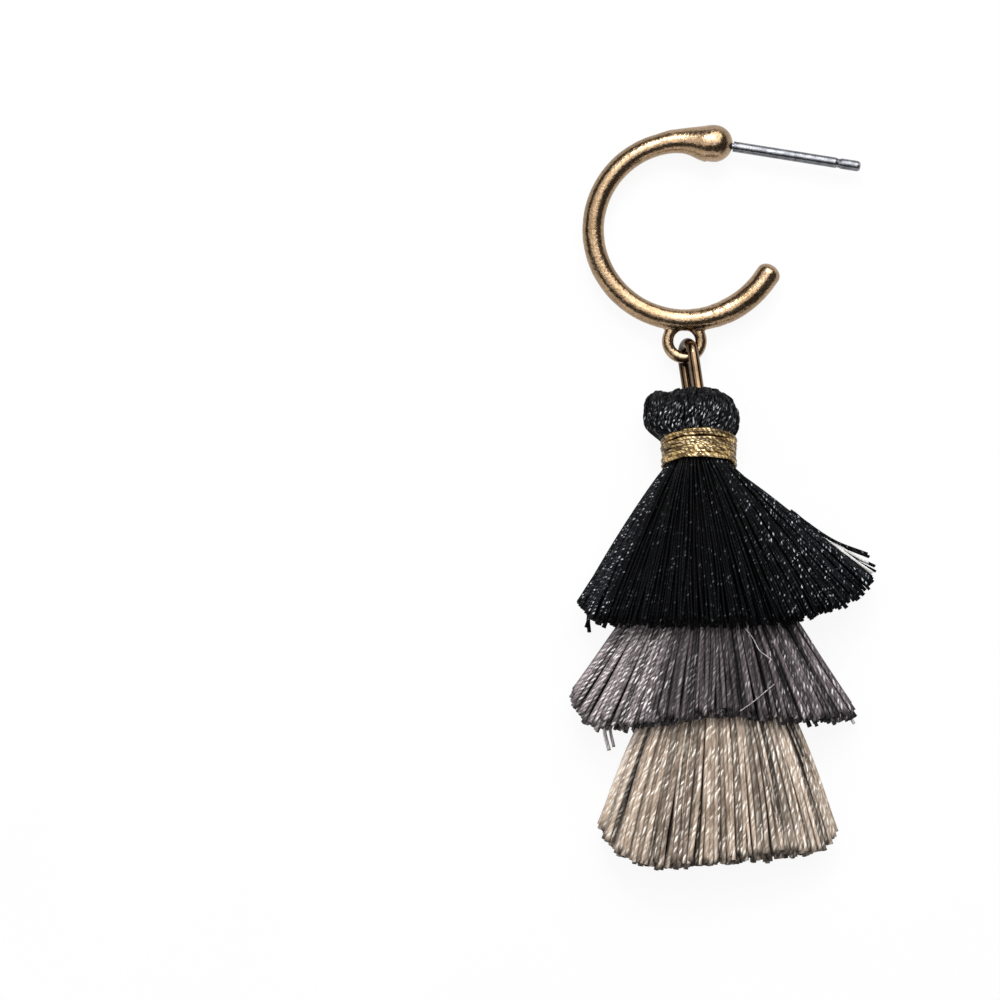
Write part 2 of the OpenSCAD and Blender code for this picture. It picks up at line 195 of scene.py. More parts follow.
UPPER = Tier(
    upper_low, upper_high, upper_neck[1], upper_neck[2], [NECK_D, NECK_D], NECK_RISE,
    UPPER_HEM, spread=0.9, settle=0.45, seed=11)
MIDDLE = Tier(
    middle_low, middle_high, middle_high[1] - HIDDEN_HEAD, MIDDLE_NECK_AT * upper_high[2],
    MIDDLE_NECK, 0, MIDDLE_HEM, spread=1, settle=2.5, seed=23)
LOWER = Tier(
    lower_low, lower_high, lower_high[1] - HIDDEN_HEAD, LOWER_NECK_AT * middle_high[2],
    LOWER_NECK, 0, LOWER_HEM, spread=0.66, settle=2.5, seed=37)


def unit(v):
    """Rows of vectors, each with the length 1."""
    return v / np.maximum(np.linalg.norm(v, axis=-1, keepdims=True), 1e-9)


def tubes(name, paths, radius, up, sides=6, depth=0.0, painted_shine=0.0):
    """One mesh of many round threads. paths has the shape (threads, rings, 3), radius
    (threads, rings) or less, and up is a direction that no thread runs along. The UV map
    'twist' holds the turn round the thread and the way along it in millimetres. The colour
    attribute 'tone' holds a random shade, the way along as a share, and how deep the
    thread lies in the bundle, which the material darkens as painted shade, and its alpha
    how much painted light and how many painted glints the thread gets, where more than 1
    paints it pale all along as a painted highlight."""
    paths = np.asarray(paths, float)
    n, m = paths.shape[:2]

    # Corners: the rings of each thread, and then the middles of its two ends
    tangent = unit(np.gradient(paths, axis=1))
    side = unit(np.cross(tangent, np.asarray(up, float)))
    over = np.cross(side, tangent)
    angle = 2 * np.pi * np.arange(sides) / sides
    r = np.broadcast_to(np.asarray(radius, float), (n, m))[:, :, None, None]
    spokes = np.cos(angle)[:, None] * side[:, :, None] + np.sin(angle)[:, None] * over[:, :, None]
    rings = (paths[:, :, None] + r * spokes).reshape(n, m * sides, 3)
    corners = np.concatenate([rings, paths[:, :1], paths[:, -1:]], axis=1)
    first_middle, last_middle, per_thread = m * sides, m * sides + 1, m * sides + 2

    # Faces: quads between the rings, and a fan of triangles over each end
    i, k = np.meshgrid(np.arange(m - 1), np.arange(sides), indexing="ij")
    here, ahead = i * sides, (i + 1) * sides
    beside = (k + 1) % sides
    quads = np.stack([here + k, here + beside, ahead + beside, ahead + k], -1).reshape(-1, 4)
    rim = np.arange(sides)
    next_rim = (rim + 1) % sides
    last_rim, last_next = rim + (m - 1) * sides, next_rim + (m - 1) * sides
    first_fan = np.stack([np.full(sides, first_middle), next_rim, rim], -1)
    last_fan = np.stack([np.full(sides, last_middle), last_rim, last_next], -1)
    faces = np.concatenate([quads.ravel(), first_fan.ravel(), last_fan.ravel()])
    loops = (faces[None] + np.arange(n)[:, None] * per_thread).ravel()
    sizes = np.tile(np.concatenate([np.full(len(quads), 4), np.full(2 * sides, 3)]), n)

    # The twist at each corner of each face
    step = np.linalg.norm(np.diff(paths, axis=1), axis=-1)
    along = np.concatenate([np.zeros((n, 1)), np.cumsum(step, axis=1)], axis=1)
    rng = np.random.default_rng(len(name) + n)
    phase = rng.random((n, 1))
    quad_turn = np.stack([k, k + 1, k + 1, k], -1).ravel() / sides
    quad_ring = np.stack([i, i, i + 1, i + 1], -1).ravel()
    turn = np.concatenate([quad_turn, np.full(6 * sides, 0.5)])
    ring = np.concatenate([quad_ring, np.zeros(3 * sides, int), np.full(3 * sides, m - 1)])
    twist = np.stack([turn[None] + phase, along[:, ring]], -1)

    mesh = bpy.data.meshes.new(name)
    mesh.vertices.add(n * per_thread)
    mesh.vertices.foreach_set("co", (corners * MM).astype(np.float32).ravel())
    mesh.loops.add(len(loops))
    mesh.loops.foreach_set("vertex_index", loops.astype(np.int32))
    mesh.polygons.add(len(sizes))
    mesh.polygons.foreach_set("loop_start", (np.cumsum(sizes) - sizes).astype(np.int32))
    mesh.update(calc_edges=True)
    mesh.uv_layers.new(name="twist")
    mesh.uv_layers["twist"].data.foreach_set("uv", twist.astype(np.float32).ravel())
    colours = np.zeros((n, per_thread, 4))
    colours[..., 0] = rng.random((n, 1))
    colours[:, :first_middle, 1] = np.repeat(np.linspace(0, 1, m), sides)
    colours[:, last_middle, 1] = 1
    colours[..., 2] = np.broadcast_to(depth, n)[:, None]
    colours[..., 3] = np.broadcast_to(painted_shine, n)[:, None]
    layer = mesh.attributes.new("tone", "FLOAT_COLOR", "POINT")
    layer.data.foreach_set("color", colours.astype(np.float32).ravel())
    mesh.shade_smooth()
    piece = bpy.data.objects.new(name, mesh)
    bpy.context.scene.collection.objects.link(piece)
    return piece


FRINGE_RINGS = 28   # how many rings each thread of a fringe has
HEM_SAMPLES = 1441  # how many points along a hem are measured to space the threads
# The disorder of the threads. Turns are degrees.
HEM_JITTER = 0.3            # how unevenly they stand along the hem, as a share of their step
LOCK_THREADS = (2, 7)       # how many threads a lock has, the last number left out
LOCK_LIFT = 0.05            # how far a lock may rise over the surface
LOCK_TURN = 0.8             # how far a lock leans
THREAD_LIE = (-0.45, 0.1)   # how deep or high a thread lies, as a share of its radius
CROSSING_SHARE = 0.07       # how many threads cross their neighbours
CROSSING_TURN = 3           # how far they cross
CROSSING_LIFT = 0.16        # how far they rise over the others
WAVE_RATE = 0.55            # how many waves of the slowest kind a thread has
SIDE_WAVE = 0.7             # the threads' waves along the hem, in degrees
OUT_WAVE = 0.05             # the threads' waves out of the surface
THICKNESS = (0.75, 1.15)    # the thinnest and the thickest thread, as shares
CUT_FLARE = 1.12            # how much a cut end spreads
NECK_DEPTH = 1.2            # how deep the inner threads lie where a fringe is still thin
SUNK_PAINTED_SHADE = 0.42           # how much painted shade darkens a thread that lies deep between others
FULL_SHADE_LAYER = 3              # the first layer that gets the full painted shade
STRAY_INSIDE = 0.1          # the share of the way that a stray runs inside the fringe


def waves(rng, n, t, strength, cycles=2):
    """Slow sideways waves along n threads, none at the neck."""
    total = np.zeros((n, len(t)))
    for c in range(1, cycles + 1):
        swing = rng.normal(0, strength / c, (n, 1))
        total += swing * np.sin(2 * np.pi * (c * WAVE_RATE * t[None] + rng.random((n, 1))))
    return total * np.clip(t, 0, 1)[None]


def hem_turns(tier, count, rng):
    """Turns of threads that stand evenly along the hem, with some disorder."""
    turn = np.linspace(0, 360, HEM_SAMPLES)
    hem = tier.hem_point(turn)[:, [0, 2]]
    way = np.concatenate([[0], np.cumsum(np.linalg.norm(np.diff(hem, axis=0), axis=1))])
    jitter = rng.uniform(-HEM_JITTER, HEM_JITTER, count)
    return np.interp((np.arange(count) + 0.5 + jitter) / count * way[-1], way, turn)


def in_locks(rng, turn):
    """For each thread the middle of its lock, its place in it from -1 to 1, and the lock."""
    lock = np.repeat(np.arange(len(turn)), rng.integers(*LOCK_THREADS, len(turn)))[:len(turn)]
    middle = np.array([turn[lock == k].mean() for k in range(lock[-1] + 1)])[lock]
    reach = np.array([np.ptp(turn[lock == k]) / 2 for k in range(lock[-1] + 1)])[lock]
    return middle, (turn - middle) / np.maximum(reach, 0.5), lock


def stray_path(tier, turn, leaves, end, rings, r):
    """A thread that comes out of the fringe and bends away to its end."""
    way = np.array([leaves - STRAY_INSIDE, leaves])
    inside, out = tier.moved_out(np.full(2, float(turn)), way, np.full(2, -r))
    end = np.array(end, float)
    straight = out + unit(out - inside) * np.linalg.norm(end - out) / 2
    path = smooth_path([inside, out, 0.5 * straight + 0.25 * (out + end), end], rings)
    path[:, 2] = np.maximum(path[:, 2], r)
    return path


def fringe_layer(tier, row, rng, t, r, draw, relief):
    """One layer of a fringe: its threads' turns, paths and radii, and how deep each one has
    sunk between its neighbours, from 0 to 1."""
    count, depth, longer, uneven, tuck = row
    down = np.clip(t, 0, 1)[None]
    turn = hem_turns(tier, count, rng)
    middle, place, lock = in_locks(rng, turn)
    lock_out = rng.uniform(-relief, LOCK_LIFT, count + 1)[lock]
    lock_turn = rng.normal(0, LOCK_TURN, count + 1)[lock]
    lock_reach = rng.normal(0, uneven, count + 1)[lock]
    lie = rng.uniform(*THREAD_LIE, count) * r
    crossing = (rng.random(count) < CROSSING_SHARE) * rng.normal(0, CROSSING_TURN, count)
    reach = (longer + lock_reach + rng.normal(0, 0.8 * uneven, count)) / tier.size[1]
    turns = turn[:, None] - draw * (turn - middle)[:, None] * down ** 1.3
    turns = turns + (lock_turn + crossing)[:, None] * t[None] ** 2
    turns = turns + waves(rng, count, t, SIDE_WAVE)
    tucked = rng.uniform(0, tuck, count)[:, None] * (1 - down) ** 1.5
    deep = np.minimum(depth, NECK_DEPTH + (depth - NECK_DEPTH) * down ** 3)
    out = -r - deep - tucked - draw * place[:, None] ** 2 * down ** 0.8
    out = out + (lock_out + lie + CROSSING_LIFT * (crossing != 0))[:, None] * down ** 0.7
    out = out + waves(rng, count, t, OUT_WAVE, 3)
    way = t[None] * (1 + reach[:, None])
    paths = tier.moved_out(*np.broadcast_arrays(turns, way, out))
    paths[..., 2] = np.maximum(paths[..., 2], r)
    radius = np.full((count, len(t)), r) * rng.uniform(*THICKNESS, (count, 1))
    radius[:, -1] *= CUT_FLARE
    return turn, paths, radius, np.clip(lie / (THREAD_LIE[0] * r), 0, 1)


def fringe(name, tier, layers, painted_shine, thread_d, start, draw, relief, strays=(), hairs=()):
    """The threads of one fringe, in layers from the outside in. The painted_shine argument is a
    table of turns and of how much painted light and how many painted glints the threads
    there get. Start is the share of the way at which the threads begin, draw how far a lock
    draws its threads together at the hem, and relief how far the locks lie under each other.
    A stray is a row of its turn, the share of the way at which it leaves the fringe, its
    end, its thickness as a share, and its painted light, where more than 1 paints it pale as
    a painted highlight. A hair lies on the fringe: its points' turns, shares of the way and
    heights, and the same."""
    rng = np.random.default_rng(tier.seed)
    t = np.linspace(start, 1, FRINGE_RINGS)
    r = thread_d / 2
    all_paths, all_radius, shade_depths, painted_shines = [], [], [], []
    for layer, row in enumerate(layers):
        turn, paths, radius, sunk = fringe_layer(tier, row, rng, t, r, draw, relief)
        all_paths.append(paths)
        all_radius.append(radius)
        # Painted shade: deeper layers, and threads sunk between others, are darkened
        shade_depths.append(min(layer / FULL_SHADE_LAYER, 1) + SUNK_PAINTED_SHADE * sunk ** 2)
        painted_shines.append(np.interp(turn, *np.array(painted_shine).T))
    loose = [
        (stray_path(tier, turn, leaves, end, FRINGE_RINGS, r * thick), thick, own_painted_shine)
        for turn, leaves, end, thick, own_painted_shine in strays]
    loose += [
        (smooth_path(tier.moved_out(*np.array(points, float).T), FRINGE_RINGS), thick, own_painted_shine)
        for points, thick, own_painted_shine in hairs]
    for path, thick, own_painted_shine in loose:
        all_paths.append(path[None])
        all_radius.append(np.full((1, FRINGE_RINGS), r * thick))
        shade_depths.append(np.zeros(1))
        painted_shines.append(np.full(1, own_painted_shine))
    return tubes(
        name, np.concatenate(all_paths), np.concatenate(all_radius), (0, 0, 1),
        sides=5, depth=np.concatenate(shade_depths), painted_shine=np.concatenate(painted_shines))


# The stray threads and hairs of each fringe, as fringe() has them
UPPER_STRAYS = [
    (6, 0.48, (12.4, -5.1, 1.8), 0.9, 0.5),
    (4, 0.5, (12.6, -5.35, 1.2), 0.9, 0.4),
    (3, 0.52, (12.5, -5.9, 1.6), 0.8, 1.8),
    (2, 0.6, (13.1, -6.15, 0.9), 0.9, 0.4),
    (1, 0.66, (12.85, -6.7, 1.1), 1, 1.9),
    (359, 0.7, (13.2, -6.6, 0.5), 0.8, 0.3),
    (205, 0.93, (-11.2, -11.8, 0.3), 1.1, 0.3),
    (207, 0.9, (-11.5, -11.4, 0.5), 0.9, 0.3),
]
MIDDLE_STRAYS = [
    (222, 0.93, (-9.5, -21.9, 0.3), 1, 1.7),
    (225, 0.93, (-9.1, -21.6, 0.4), 0.8, 1.3),
    (338, 0.93, (11.4, -19.6, 0.4), 0.8, 1.3),
]
MIDDLE_HAIRS = [
    ([(81, 0.97, 0.05), (75, 0.91, 0.12), (69, 0.85, 0.1), (63, 0.8, 0.12)], 0.22, 1.3),
    ([(72, 0.5, 0.1), (68, 0.56, 0.16), (66, 0.62, 0.14), (60, 0.67, 0.1)], 0.2, 1.2),
]
LOWER_STRAYS = [
    (166, 0.25, (-10.3, -28.1, 1.4), 1, 1.25),
    (172, 0.3, (-10, -28.4, 1), 1, 1.15),
]
# Painted light along a hem: how much the threads are painted lighter and given painted glints, from
# turn 0 at the right over the top to 360
UPPER_PAINTED_SHINE = [
    (0, 0.8), (30, 0.75), (45, 0.5), (60, 0.35), (72, 0.1), (143, 0.06), (150, 0.5), (160, 0.9),
    (360, 0.8),
]
MIDDLE_PAINTED_SHINE = [
    (0, 0.5), (50, 0.4), (72, 0.25), (85, 0.15), (108, 0.2), (125, 0.75), (145, 1), (200, 0.95),
    (360, 0.5),
]
LOWER_PAINTED_SHINE = [(0, 1), (50, 1), (80, 0.8), (100, 0.68), (130, 0.8), (160, 0.98), (360, 0.9)]
# Each layer: number of threads, depth under the surface, how much longer than the hem and
# how uneven its ends are, and how deep its threads are tucked at the neck
UPPER_LAYERS = [
    (190, 0, -0.12, 0.12, 1.2),
    (170, 0.28, 0.05, 0.12, 1.2),
    (140, 0.6, 0.15, 0.14, 0.8),
    (110, 1, 0.2, 0.12, 0.5),
]
MIDDLE_LAYERS = [
    (165, 0, -0.3, 0.22, 1.3),
    (150, 0.32, 0, 0.14, 1.2),
    (125, 0.68, 0.2, 0.14, 0.8),
    (100, 1.1, 0.3, 0.14, 0.5),
]
LOWER_LAYERS = [
    (125, 0, -0.25, 0.2, 1),
    (115, 0.36, 0, 0.12, 0.8),
    (96, 0.76, 0.15, 0.12, 0.5),
    (78, 1.2, 0.2, 0.12, 0.2),
    (66, 1.6, 0.2, 0.14, 0.1),
    (54, 2, 0.2, 0.14, 0),
    (40, 2.35, 0.2, 0.14, 0),
]
upper_fringe = fringe(
    "upper_fringe", UPPER, UPPER_LAYERS, UPPER_PAINTED_SHINE,
    thread_d=0.33, start=-0.05, draw=0.08, relief=0.12, strays=UPPER_STRAYS)
middle_fringe = fringe(
    "middle_fringe", MIDDLE, MIDDLE_LAYERS, MIDDLE_PAINTED_SHINE,
    thread_d=0.37, start=0, draw=0.16, relief=0.2, strays=MIDDLE_STRAYS, hairs=MIDDLE_HAIRS)
lower_fringe = fringe(
    "lower_fringe", LOWER, LOWER_LAYERS, LOWER_PAINTED_SHINE,
    thread_d=0.42, start=0, draw=0.18, relief=0.26, strays=LOWER_STRAYS)


# The head: threads that come up from the neck, fold over the bail and go down behind
HEAD_W = 8
HEAD_H = 6.3
HEAD_SIDE = 0.63    # how far the head's middle lies to the left of the neck's
HEAD_THREAD_D = 0.27
HEAD_RINGS = 42
# Painted light: how much the head's threads are painted lighter and given painted glints
HEAD_PAINTED_SHINE = 0.82
HEAD_LAYERS = [(135, 0), (115, 0.25), (85, 0.5), (60, 0.85)]    # number of threads and depth
head_x = UPPER.at[0] - HEAD_SIDE
head_low_y = neck_top[1]
head_l = upper_high[1] - head_low_y
# Rows from the neck to the crown: rise as a share of the head's length, and the width and
# height as shares of the head's
HEAD_ROWS = [
    [0.24, 0.95, 0.94], [0.52, 1, 1], [0.8, 0.98, 0.86], [0.95, 0.9, 0.55], [1, 0.76, 0.26],
]
# How high the threads fold over, from the head's left edge to its right one
CROWN = np.array([
    [-1, 0.84], [-0.74, 0.92], [-0.54, 0.87], [-0.34, 0.93], [0, 1], [0.3, 0.99], [0.56, 0.93],
    [0.8, 0.8], [1, 0.66],
])
LOBE_EDGE = -0.5    # where the left lobe ends, as a share of half the head's width
LOBE_CREASE = 0.16  # how deep the crease beside it is, as a share of the head's height
CREASE_W = 0.09     # how wide the crease is, as a share of half the head's width
NECK_IN_WRAP = 0.6  # how far inside the wrap the head's threads begin
NECK_DRAWN = 0.9    # how far the wrap draws them in, as a share of the neck
FOLD_LEAN = 0.1     # how far the threads lean over the head, to opposite sides on its faces
LEVEL_RISE = 0.4    # the rise at which they don't lean
CROWN_ROOM = 0.2    # how far the fold stays under the solid's top
FOLD_DEPTH = 0.7    # how much of a thread's depth it keeps at the fold
THREAD_SINK = 0.3   # how much deeper than its layer a thread may lie
FOLD_SHIFT = 0.07   # the threads' disorder: to the side, and then along each axis
FOLD_WAVES = (0.16, 0.06, 0.06)


def head_threads(name):
    """The head's threads, in layers from the outside in, each from the front of the neck
    over the crown to its back."""
    rng = np.random.default_rng(5)
    all_paths, shade_depths = [], []
    for layer, (count, depth) in enumerate(HEAD_LAYERS):
        turn = 180 * (np.arange(count) + 0.5 + rng.uniform(-0.5, 0.5, count)) / count
        c, s = np.cos(np.radians(turn)), np.sin(np.radians(turn))
        inset = HEAD_THREAD_D / 2 + depth + rng.uniform(0, THREAD_SINK, count)
        rows = []
        for face in (1, -1):
            centre = neck_top - NECK_IN_WRAP * NECK_AXIS
            neck = UPPER.neck_point(face * turn, WRAP_L - NECK_IN_WRAP)
            half = [centre + (neck - centre) * NECK_DRAWN]
            for rise, wide, high in HEAD_ROWS:
                lean = FOLD_LEAN * face * (1 - c ** 2) * (rise - LEVEL_RISE)
                across = wide * np.clip(c + lean, -1, 1)
                crease = 1 - LOBE_CREASE * rise * np.exp(-((across - LOBE_EDGE) / CREASE_W) ** 2)
                crown = np.interp(across, CROWN[:, 0], CROWN[:, 1])
                x = head_x + (HEAD_W / 2 - inset) * across
                y = head_low_y + rise * (head_l - CROWN_ROOM - inset * FOLD_DEPTH) * crown
                z = HEAD_H / 2 + face * (HEAD_H / 2 - inset) * high * s * crease
                half.append(np.stack([x, y, z], -1))
            rows.append(half if face == 1 else half[::-1])
        points = np.stack(rows[0] + rows[1], 1)
        inner = points[:, 1:-1]
        inner[..., 0] += rng.normal(0, FOLD_SHIFT, (count, 1))
        for axis, wave in enumerate(FOLD_WAVES):
            inner[..., axis] += rng.normal(0, wave, inner.shape[:2])
        paths = smooth_path(points, HEAD_RINGS)
        paths[..., 2] = np.maximum(paths[..., 2], HEAD_THREAD_D / 2)
        all_paths.append(paths)
        # Painted shade: the head's inner layers are darkened
        shade_depths.append(np.full(count, layer / (len(HEAD_LAYERS) - 1)))
    return tubes(
        name, np.concatenate(all_paths), HEAD_THREAD_D / 2, (1, 0, 0.01), sides=5,
        depth=np.concatenate(shade_depths), painted_shine=HEAD_PAINTED_SHINE)


head = head_threads("upper_head")


# The wrap: turns of metallic thread round the neck. Each row is how far down the neck the
# turn lies as a share, its thickness, its slope down to the right, and how far its front
# sinks below its sides, in millimetres
WRAP_TURNS = [
    (0.02, 0.26, 0.03, 0), (0.08, 0.28, -0.05, 0), (0.14, 0.26, 0.02, -0.03),
    (0.2, 0.22, -0.06, -0.04), (0.31, 0.3, -0.1, 0.09), (0.37, 0.26, 0.05, 0.03),
    (0.42, 0.3, -0.04, 0.04), (0.47, 0.28, 0.03, 0.01), (0.52, 0.24, -0.03, 0.04),
    (0.57, 0.2, 0.06, -0.03), (0.62, 0.24, -0.09, 0.03), (0.67, 0.2, 0.05, -0.02),
    (0.72, 0.24, 0.09, 0.02), (0.77, 0.22, -0.05, -0.04), (0.82, 0.24, 0.03, 0.02),
    (0.87, 0.22, -0.12, -0.08), (0.93, 0.26, -0.06, -0.02), (0.98, 0.3, -0.03, 0),
    (0.5, 0.2, 0.3, 0), (0.7, 0.2, -0.34, 0.02),
]
WRAP_STAND = 0.2            # how far a turn's middle line stands off the neck
WRAP_LOOSE = (-0.06, 0.08)  # how much nearer or farther it may stand
WRAP_END = 0.17             # how far the outer turns stay from the wrap's ends
# Painted light: how much the winding's turns are painted lighter and given painted glints
WRAP_PAINTED_SHINE = 0.8
# The ripples of a turn: size, number round the neck, and degrees from one turn to the next.
# The swelling's size is a share of the thread's thickness.
RIPPLES = [(0.03, 4, 50), (0.02, 9, 80)]
SWELLING = (0.08, 5, 70)


def wrap_turns(name):
    """The winding's turns, each a closed ring of thread."""
    rng = np.random.default_rng(8)
    a = np.linspace(0, 360, 121)
    c, s = np.cos(np.radians(a)), np.sin(np.radians(a))
    paths, radius = [], []
    for k, (way, thick, slope, sink) in enumerate(WRAP_TURNS):
        r = NECK_D / 2 + WRAP_STAND + rng.uniform(*WRAP_LOOSE)
        at = neck_top - (WRAP_END + way * (WRAP_L - 2 * WRAP_END)) * NECK_AXIS
        p = at + np.stack([r * c, r * s * math.sin(NECK_RISE), r * s * math.cos(NECK_RISE)], -1)
        drift = slope * c + sink * np.clip(s, 0, 1) ** 2
        for size, cycles, shift in RIPPLES:
            drift = drift + size * np.sin(np.radians(cycles * a + shift * k))
        paths.append(p - drift[:, None] * NECK_AXIS)
        size, cycles, shift = SWELLING
        radius.append(thick / 2 * (1 + size * np.sin(np.radians(cycles * a + shift * k))))
    return tubes(name, np.array(paths), np.array(radius), NECK_AXIS, sides=8, painted_shine=WRAP_PAINTED_SHINE)


wrap = wrap_turns("neck_winding")


SWELL_RINGS = 40
SWELL_SIDES = 48


def cast_copy(node, name, swell, voxel, rounds, uneven, dent_size):
    """The CAD solid of a casting with its inner corners run full and its skin uneven. The
    swell is a row of points, with radii, along which the casting is a little fuller. Rounds
    is how often the corners are smoothed, and uneven how far the skin's soft dents, each
    about as wide as dent_size, reach."""
    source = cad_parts[node]
    mesh = source.data.copy()
    mesh.materials.clear()
    mesh.transform(Matrix.Scale(1 / MM, 4) @ source.matrix_world)
    full = smooth_path(swell, SWELL_RINGS)
    inside = tubes(
        name + "_swell", full[None, :, :3], full[None, :, 3], (0, 0, 1), sides=SWELL_SIDES)
    inside.data.transform(Matrix.Scale(1 / MM, 4))
    both = bmesh.new()
    both.from_mesh(mesh)
    both.from_mesh(inside.data)
    both.to_mesh(mesh)
    both.free()
    bpy.data.objects.remove(inside)
    piece = bpy.data.objects.new(name, mesh)
    bpy.context.scene.collection.objects.link(piece)
    fused = piece.modifiers.new("fused", "REMESH")
    fused.mode = "VOXEL"
    fused.voxel_size = voxel
    fillets = piece.modifiers.new("fillets", "SMOOTH")
    fillets.factor = 0.5
    fillets.iterations = rounds
    clouds = bpy.data.textures.new(name, "CLOUDS")
    clouds.noise_scale = dent_size
    skin = piece.modifiers.new("skin", "DISPLACE")
    skin.texture = clouds
    skin.strength = uneven
    finished = piece.evaluated_get(bpy.context.evaluated_depsgraph_get())
    ready = bpy.data.meshes.new_from_object(finished)
    piece.modifiers.clear()
    piece.data = ready
    ready.transform(Matrix.Scale(MM, 4))
    ready.shade_smooth()
    return piece


# The hoop's middle is worked out from its box
HOOP_R = 8.725      # from the middle to the hoop's left edge
BEAD_TOP = 8.814    # from the middle to the bead's top
hoop_low, hoop_high = box("hoop")
hoop_at = np.array([hoop_low[0] + HOOP_R, hoop_high[1] - BEAD_TOP, (hoop_low[2] + hoop_high[2]) / 2])
# The long flare between the wire and the bead: points from the hoop's middle, and radii
FLARE = np.array([
    [-2.08, 7.18, 0, 0.93], [-1.57, 7.28, 0, 0.97], [-1.06, 7.38, 0, 1.01],
    [-0.55, 7.41, 0, 1.04], [-0.04, 7.43, 0, 1.1], [0.47, 7.4, 0, 1.2], [0.98, 7.34, 0, 1.34],
    [1.49, 7.26, 0, 1.49], [2, 7.18, 0, 1.58],
])
hoop_cast = cast_copy(
    "hoop", "hoop_cast", FLARE + [*hoop_at, 0], voxel=0.08, rounds=12, uneven=0.03, dent_size=1.1)


class Nodes:
    """Short calls for building a material's nodes."""

    def __init__(self, name):
        self.material = bpy.data.materials.new(name)
        self.material.use_nodes = True
        self.tree = self.material.node_tree
        self.shader = self.tree.nodes["Principled BSDF"]

    def add(self, kind, **inputs):
        node = self.tree.nodes.new(kind)
        return self.fill(node, **inputs)

    def fill(self, node, **inputs):
        for key, value in inputs.items():
            numbered = key[0] == "i" and key[1:].isdigit()
            socket = node.inputs[int(key[1:])] if numbered else node.inputs[key.replace("_", " ")]
            if isinstance(value, bpy.types.NodeSocket):
                self.tree.links.new(value, socket)
            else:
                socket.default_value = value
        return node

    def math(self, operation, *values):
        node = self.tree.nodes.new("ShaderNodeMath")
        node.operation = operation
        self.fill(node, **{f"i{k}": v for k, v in enumerate(values)})
        return node.outputs[0]

    def mix(self, factor, a, b, mode="MIX"):
        node = self.tree.nodes.new("ShaderNodeMix")
        node.data_type = "RGBA"
        node.blend_type = mode
        self.fill(node, i0=factor, i6=a, i7=b)
        return node.outputs[2]

    def ramp(self, value, *stops):
        node = self.tree.nodes.new("ShaderNodeValToRGB")
        ramp = node.color_ramp
        while len(ramp.elements) < len(stops):
            ramp.elements.new(0.5)
        for element, (at, colour) in zip(ramp.elements, stops):
            element.position = at
            grey = isinstance(colour, (int, float))
            element.color = (colour, colour, colour, 1) if grey else (*colour[:3], 1)
        self.tree.links.new(value, node.inputs[0])
        return node.outputs[0]


STRAY_HIGHLIGHT_COLOUR = (0.8, 0.79, 0.77, 1)    # painted highlight: the pale colour of stray threads and hairs that catch the light
